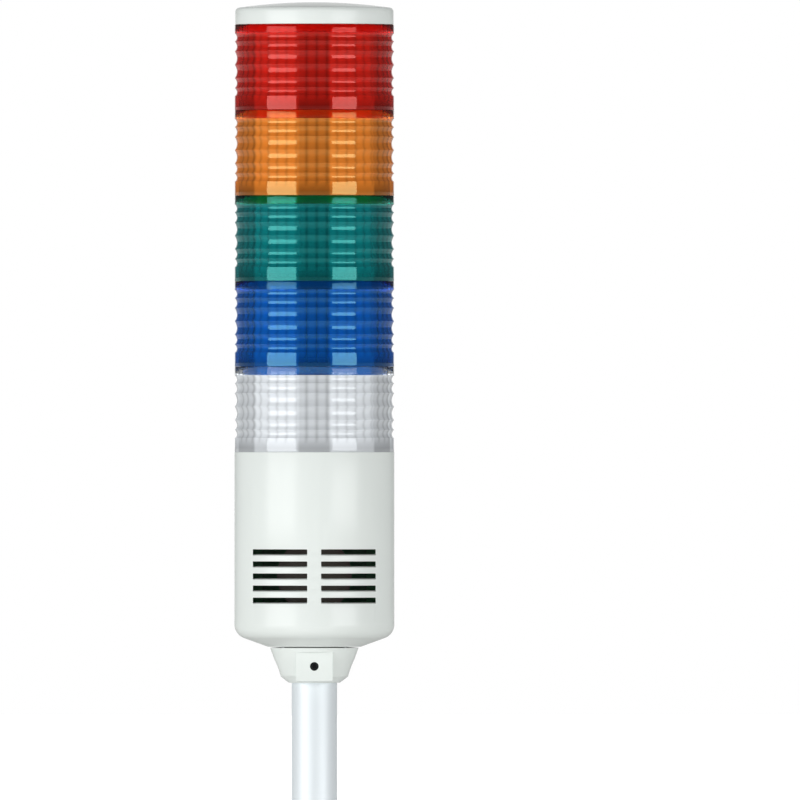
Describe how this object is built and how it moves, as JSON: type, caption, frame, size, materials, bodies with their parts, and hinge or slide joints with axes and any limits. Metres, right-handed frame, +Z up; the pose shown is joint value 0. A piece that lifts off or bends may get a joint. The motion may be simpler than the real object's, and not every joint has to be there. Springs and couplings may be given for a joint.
{
  "type": "stack light",
  "caption": "Signal tower of stacked coloured ring lenses over a louvred sounder body, on a slim pole with a folding foot released by a push button.",
  "frame": {"origin": "centre of the foot's underside", "axes": "+Z up the pole, -Y the front with louvres and release button, +X the side it folds to"},
  "size_m": [0.088, 0.088, 0.5631],
  "materials": {
    "pale_abs": "smooth moulded ABS, pale grey-white",
    "lens_red": "clear-dyed polycarbonate, red",
    "lens_amber": "clear-dyed polycarbonate, amber",
    "lens_green": "clear-dyed polycarbonate, green",
    "lens_blue": "clear-dyed polycarbonate, blue",
    "lens_clear": "clear polycarbonate",
    "clear_diffuser": "clear moulded plastic",
    "led_post": "white solder-masked board",
    "circuit_board": "green solder mask",
    "black_moulding": "moulded",
    "green_moulding": "moulded",
    "pole_aluminium": "bright anodised, drawn",
    "black_nylon": "satin glass-filled nylon",
    "red_button": "gloss ABS, red",
    "black_rubber": "plain",
    "zinc_steel": "zinc plated"
  },
  "bodies": {
    "foot": {"base_gasket": "black_rubber", "base_bracket": "black_nylon", "barrel_cap": "black_nylon", "pivot_pin": "zinc_steel", "button_spring": "zinc_steel"},
    "button": {"release_button": "red_button"},
    "mast": {"fold_arm": "black_nylon", "arm_set_screw": "zinc_steel", "pole": "pole_aluminium", "pole_holder": "pale_abs", "pole_set_screw": "zinc_steel", "holder_screws": "zinc_steel", "body_housing": "pale_abs", "control_board": "circuit_board", "buzzer": "black_moulding", "terminal_block": "green_moulding", "chassis_plate": "pale_abs", "base_socket": "pale_abs", "lens_clear": "lens_clear", "led_board_clear": "circuit_board", "led_post_clear": "led_post", "diffuser_clear": "clear_diffuser", "lens_blue": "lens_blue", "led_board_blue": "circuit_board", "led_post_blue": "led_post", "diffuser_blue": "clear_diffuser", "lens_green": "lens_green", "led_board_green": "circuit_board", "led_post_green": "led_post", "diffuser_green": "clear_diffuser", "lens_amber": "lens_amber", "led_board_amber": "circuit_board", "led_post_amber": "led_post", "diffuser_amber": "clear_diffuser", "lens_red": "lens_red", "led_board_red": "circuit_board", "led_post_red": "led_post", "diffuser_red": "clear_diffuser", "tie_rods": "zinc_steel", "clamp_plate": "zinc_steel", "clamp_nuts": "zinc_steel", "top_cap": "pale_abs"}
  },
  "joints": [
    {"name": "pole_fold", "type": "hinge", "parent": "foot", "child": "mast", "pos_m": [0, 0, 0.06], "axis": [0, 1, 0], "range_deg": [-30, 90]},
    {"name": "button_press", "type": "slide", "parent": "foot", "child": "button", "axis": [0, 1, 0], "range_m": [0, 0.002], "stiffness_N_per_m": 800, "springref_m": -0.002, "deforming": ["button_spring"]}
  ]
}
